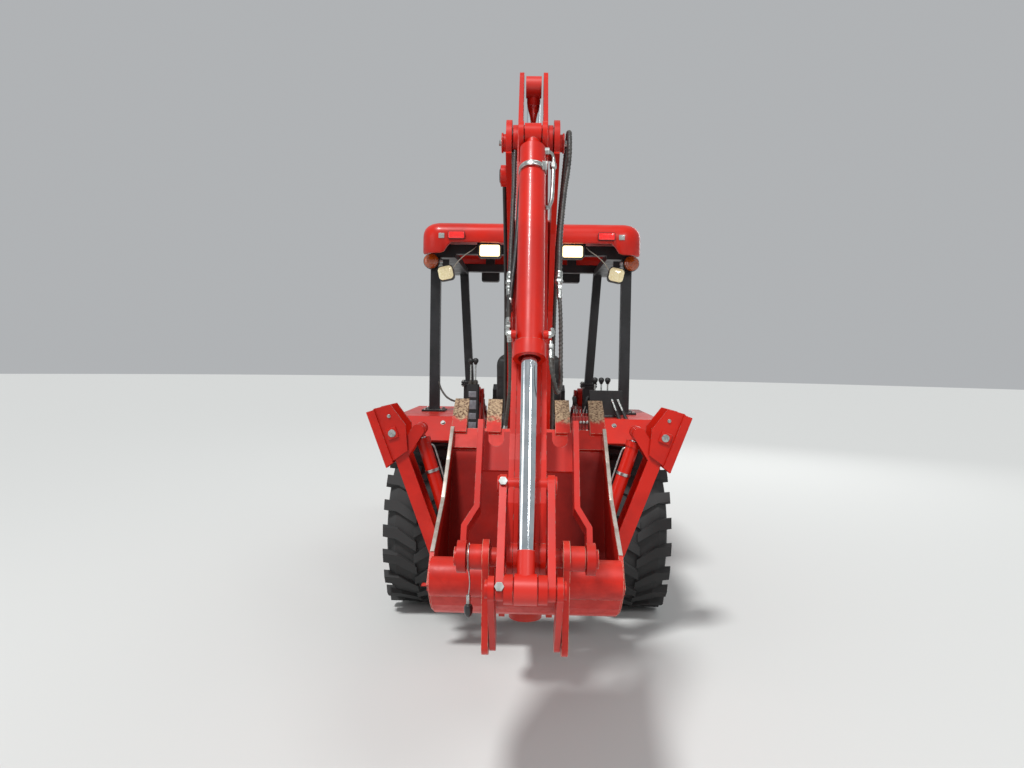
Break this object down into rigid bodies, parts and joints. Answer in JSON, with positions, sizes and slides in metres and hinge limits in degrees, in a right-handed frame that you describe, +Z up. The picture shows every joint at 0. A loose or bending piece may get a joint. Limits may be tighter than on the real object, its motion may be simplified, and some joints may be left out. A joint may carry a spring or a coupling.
{
  "type": "backhoe loader",
  "caption": "Compact open-station backhoe loader with a front loader bucket, folded rear digging arm, swing-down stabilizers and a post-mounted canopy.",
  "frame": {"origin": "on the ground under the middle of the machine's overall length and width", "axes": "+Z up, +Y towards the front loader bucket, +X to the operator's right"},
  "size_m": [1.7348, 6.8561, 2.6428],
  "materials": {
    "machine_red": "gloss enamel, weathered",
    "matt_black": "satin black enamel",
    "tyre_rubber": "dusty tread",
    "cylinder_chrome": "polished rod",
    "worn_steel": "dull cast and drawn steel",
    "seat_vinyl": "grained black vinyl",
    "lever_plastic": "moulded knobs on steel stems",
    "lamp_lens": "ribbed lens in a black shell"
  },
  "bodies": {
    "frame": {"chassis": "matt_black", "rear_axle": "matt_black", "loader_posts": "machine_red", "fenders": "machine_red", "engine_block": "worn_steel", "front_axle": "matt_black", "platform": "matt_black", "side_tanks": "machine_red", "cowl": "matt_black", "seat_base": "matt_black", "control_console": "matt_black", "levers": "lever_plastic", "roof_posts": "matt_black", "canopy": "machine_red", "lamps": "lamp_lens", "backhoe_frame": "machine_red"},
    "tie_rod": {"tie_rod": "worn_steel"},
    "knuckle_left": {"knuckle_left": "matt_black"},
    "knuckle_right": {"knuckle_right": "matt_black"},
    "front_wheel_left": {"front_tyre_left": "tyre_rubber", "front_rim_left": "machine_red"},
    "front_wheel_right": {"front_tyre_right": "tyre_rubber", "front_rim_right": "machine_red"},
    "rear_wheel_left": {"rear_tyre_left": "tyre_rubber", "rear_rim_left": "machine_red"},
    "rear_wheel_right": {"rear_tyre_right": "tyre_rubber", "rear_rim_right": "machine_red"},
    "steering_wheel": {"steering_wheel": "matt_black"},
    "seat": {"seat": "seat_vinyl"},
    "hood": {"hood": "machine_red", "grille": "matt_black"},
    "stabilizer_left": {"stabilizer_left": "machine_red"},
    "pad_left": {"stabilizer_pad_left": "machine_red"},
    "stabilizer_right": {"stabilizer_right": "machine_red"},
    "pad_right": {"stabilizer_pad_right": "machine_red"},
    "loader_arms": {"loader_arms": "machine_red"},
    "loader_bucket": {"loader_bucket": "machine_red"},
    "lift_barrels": {"lift_barrels": "matt_black"},
    "lift_rods": {"lift_rods": "cylinder_chrome"},
    "tilt_barrels": {"tilt_barrels": "matt_black"},
    "tilt_rods": {"tilt_rods": "cylinder_chrome"},
    "swing_post": {"swing_post": "machine_red"},
    "boom": {"boom": "machine_red"},
    "boom_barrel": {"boom_barrel": "matt_black"},
    "boom_rod": {"boom_rod": "cylinder_chrome"},
    "dipper": {"dipper": "machine_red"},
    "dipper_barrel": {"dipper_barrel": "matt_black"},
    "dipper_rod": {"dipper_rod": "cylinder_chrome"},
    "bucket_barrel": {"bucket_barrel": "machine_red"},
    "bucket_rod": {"bucket_rod": "cylinder_chrome"},
    "guide_links": {"guide_links": "machine_red"},
    "bucket_links": {"bucket_links": "machine_red"},
    "backhoe_bucket": {"backhoe_bucket": "machine_red"},
    "stabilizer_barrel_left": {"stabilizer_barrel_left": "machine_red"},
    "stabilizer_rod_left": {"stabilizer_rod_left": "cylinder_chrome"},
    "stabilizer_barrel_right": {"stabilizer_barrel_right": "machine_red"},
    "stabilizer_rod_right": {"stabilizer_rod_right": "cylinder_chrome"}
  },
  "joints": [
    {"name": "rear_wheel_left", "type": "hinge", "parent": "frame", "child": "rear_wheel_left", "pos_m": [-0.665, -0.422, 0.5225], "axis": [1, 0, 0], "continuous": true},
    {"name": "rear_wheel_right", "type": "hinge", "parent": "frame", "child": "rear_wheel_right", "pos_m": [0.665, -0.422, 0.5225], "axis": [1, 0, 0], "continuous": true},
    {"name": "steer_right", "type": "hinge", "parent": "frame", "child": "knuckle_right", "pos_m": [0.5, 1.473, 0.345], "axis": [0, 0, 1], "range_deg": [-45, 45]},
    {"name": "steer_left", "type": "hinge", "parent": "frame", "child": "knuckle_left", "pos_m": [-0.5, 1.473, 0.345], "axis": [0, 0, 1], "range_deg": [-45.5, 45.5]},
    {"name": "tie_rod_slide", "type": "slide", "parent": "frame", "child": "tie_rod", "axis": [1, 0, 0], "range_m": [-0.09646, 0.09646]},
    {"name": "front_wheel_left", "type": "hinge", "parent": "knuckle_left", "child": "front_wheel_left", "pos_m": [-0.655, 1.473, 0.345], "axis": [1, 0, 0], "continuous": true},
    {"name": "front_wheel_right", "type": "hinge", "parent": "knuckle_right", "child": "front_wheel_right", "pos_m": [0.655, 1.473, 0.345], "axis": [1, 0, 0], "continuous": true},
    {"name": "steering_wheel_turn", "type": "hinge", "parent": "frame", "child": "steering_wheel", "pos_m": [0, 0.428, 1.48], "axis": [0, -0.7849, 0.6196], "continuous": true},
    {"name": "seat_swivel", "type": "hinge", "parent": "frame", "child": "seat", "pos_m": [0, -0.092, 1.1], "axis": [0, 0, 1], "range_deg": [0, 180]},
    {"name": "hood_tilt", "type": "hinge", "parent": "frame", "child": "hood", "pos_m": [0, 0.874, 1.326], "axis": [1, 0, 0], "range_deg": [0, 50]},
    {"name": "loader_lift", "type": "hinge", "parent": "frame", "child": "loader_arms", "pos_m": [0, 0.728, 1.3], "axis": [1, 0, 0], "range_deg": [0, 70]},
    {"name": "lift_barrel_hinge", "type": "hinge", "parent": "frame", "child": "lift_barrels", "pos_m": [0, 0.748, 0.62], "axis": [1, 0, 0], "range_deg": [0, 47.08]},
    {"name": "lift_rod_slide", "type": "slide", "parent": "lift_barrels", "child": "lift_rods", "axis": [0, 0.9519, 0.3064], "range_m": [0, 0.61744]},
    {"name": "loader_bucket_tilt", "type": "hinge", "parent": "loader_arms", "child": "loader_bucket", "pos_m": [0, 2.563, 0.33], "axis": [1, 0, 0], "range_deg": [-50, 35]},
    {"name": "tilt_barrel_hinge", "type": "hinge", "parent": "loader_arms", "child": "tilt_barrels", "pos_m": [0, 1.908, 1.05], "axis": [1, 0, 0], "range_deg": [-5.05, 7]},
    {"name": "tilt_rod_slide", "type": "slide", "parent": "tilt_barrels", "child": "tilt_rods", "axis": [0, 0.8022, -0.597], "range_m": [-0.114, 0.162]},
    {"name": "swing", "type": "hinge", "parent": "frame", "child": "swing_post", "pos_m": [0, -1.692, 0.5], "axis": [0, 0, 1], "range_deg": [-90, 90]},
    {"name": "boom_lower", "type": "hinge", "parent": "swing_post", "child": "boom", "pos_m": [0, -1.867, 0.6], "axis": [1, 0, 0], "range_deg": [0, 115]},
    {"name": "boom_barrel_hinge", "type": "hinge", "parent": "swing_post", "child": "boom_barrel", "pos_m": [0, -1.752, 0.79], "axis": [1, 0, 0], "range_deg": [0, 113.07]},
    {"name": "boom_rod_slide", "type": "slide", "parent": "boom_barrel", "child": "boom_rod", "axis": [0, -0.1463, 0.9892], "range_m": [0, 0.37473]},
    {"name": "dipper_reach", "type": "hinge", "parent": "boom", "child": "dipper", "pos_m": [0, -2.622, 2.355], "axis": [-1, 0, 0], "range_deg": [0, 115]},
    {"name": "dipper_barrel_hinge", "type": "hinge", "parent": "boom", "child": "dipper_barrel", "pos_m": [0, -1.982, 1.57], "axis": [1, 0, 0], "range_deg": [0, 13.22]},
    {"name": "dipper_rod_slide", "type": "slide", "parent": "dipper_barrel", "child": "dipper_rod", "axis": [0, -0.4523, 0.8919], "range_m": [-0.40303, 0]},
    {"name": "bucket_curl", "type": "hinge", "parent": "dipper", "child": "backhoe_bucket", "pos_m": [0, -3.27121, 1.08086], "axis": [-1, 0, 0], "range_deg": [0, 165]},
    {"name": "guide_link_hinge", "type": "hinge", "parent": "dipper", "child": "guide_links", "pos_m": [0, -3.22286, 1.26386], "axis": [1, 0, 0], "range_deg": [-117.85, 0]},
    {"name": "bucket_link_hinge", "type": "hinge", "parent": "guide_links", "child": "bucket_links", "pos_m": [0, -3.39007, 1.0348], "axis": [1, 0, 0], "range_deg": [0, 80.31]},
    {"name": "bucket_barrel_hinge", "type": "hinge", "parent": "dipper", "child": "bucket_barrel", "pos_m": [0, -2.79214, 2.32946], "axis": [1, 0, 0], "range_deg": [-10.18, 0]},
    {"name": "bucket_rod_slide", "type": "slide", "parent": "bucket_barrel", "child": "bucket_rod", "axis": [0, -0.4193, -0.9079], "range_m": [-0.44331, 0]},
    {"name": "stabilizer_left", "type": "hinge", "parent": "frame", "child": "stabilizer_left", "pos_m": [-0.434, -1.262, 0.42], "axis": [0, -1, 0], "range_deg": [0, 108]},
    {"name": "pad_left", "type": "hinge", "parent": "stabilizer_left", "child": "pad_left", "pos_m": [-0.72537, -1.262, 1.19931], "axis": [0, 1, 0], "range_deg": [-8, 40]},
    {"name": "stabilizer_barrel_hinge_left", "type": "hinge", "parent": "frame", "child": "stabilizer_barrel_left", "pos_m": [-0.385, -1.262, 0.555], "axis": [0, -1, 0], "range_deg": [0, 108.16]},
    {"name": "stabilizer_rod_slide_left", "type": "slide", "parent": "stabilizer_barrel_left", "child": "stabilizer_rod_left", "axis": [-0.2993, 0, 0.9542], "range_m": [0, 0.23433]},
    {"name": "stabilizer_right", "type": "hinge", "parent": "frame", "child": "stabilizer_right", "pos_m": [0.434, -1.262, 0.42], "axis": [0, 1, 0], "range_deg": [0, 108]},
    {"name": "pad_right", "type": "hinge", "parent": "stabilizer_right", "child": "pad_right", "pos_m": [0.72537, -1.262, 1.19931], "axis": [0, -1, 0], "range_deg": [-8, 40]},
    {"name": "stabilizer_barrel_hinge_right", "type": "hinge", "parent": "frame", "child": "stabilizer_barrel_right", "pos_m": [0.385, -1.262, 0.555], "axis": [0, 1, 0], "range_deg": [0, 108.16]},
    {"name": "stabilizer_rod_slide_right", "type": "slide", "parent": "stabilizer_barrel_right", "child": "stabilizer_rod_right", "axis": [0.2993, 0, 0.9542], "range_m": [0, 0.23433]}
  ],
  "couplings": [
    {"joint": "steer_left", "follows": "steer_right", "ratio": 1},
    {"joint": "tie_rod_slide", "follows": "steer_right", "m_per_rad": 0.12154},
    {"joint": "lift_barrel_hinge", "follows": "loader_lift", "ratio": 0.66547},
    {"joint": "lift_rod_slide", "follows": "loader_lift", "m_per_rad": 0.50375},
    {"joint": "tilt_barrel_hinge", "follows": "loader_bucket_tilt", "ratio": -0.13},
    {"joint": "tilt_rod_slide", "follows": "loader_bucket_tilt", "m_per_rad": -0.18335},
    {"joint": "boom_barrel_hinge", "follows": "boom_lower", "ratio": 0.97885},
    {"joint": "boom_rod_slide", "follows": "boom_lower", "m_per_rad": 0.18571},
    {"joint": "dipper_barrel_hinge", "follows": "dipper_reach", "ratio": 0.11064},
    {"joint": "dipper_rod_slide", "follows": "dipper_reach", "m_per_rad": -0.1998},
    {"joint": "guide_link_hinge", "follows": "bucket_curl", "ratio": -0.7112},
    {"joint": "bucket_link_hinge", "follows": "bucket_curl", "ratio": 0.48371},
    {"joint": "bucket_barrel_hinge", "follows": "bucket_curl", "ratio": -0.058675},
    {"joint": "bucket_rod_slide", "follows": "bucket_curl", "m_per_rad": -0.15324},
    {"joint": "stabilizer_barrel_hinge_left", "follows": "stabilizer_left", "ratio": 0.99683},
    {"joint": "stabilizer_rod_slide_left", "follows": "stabilizer_left", "m_per_rad": 0.12325},
    {"joint": "stabilizer_barrel_hinge_right", "follows": "stabilizer_right", "ratio": 0.99683},
    {"joint": "stabilizer_rod_slide_right", "follows": "stabilizer_right", "m_per_rad": 0.12325}
  ]
}
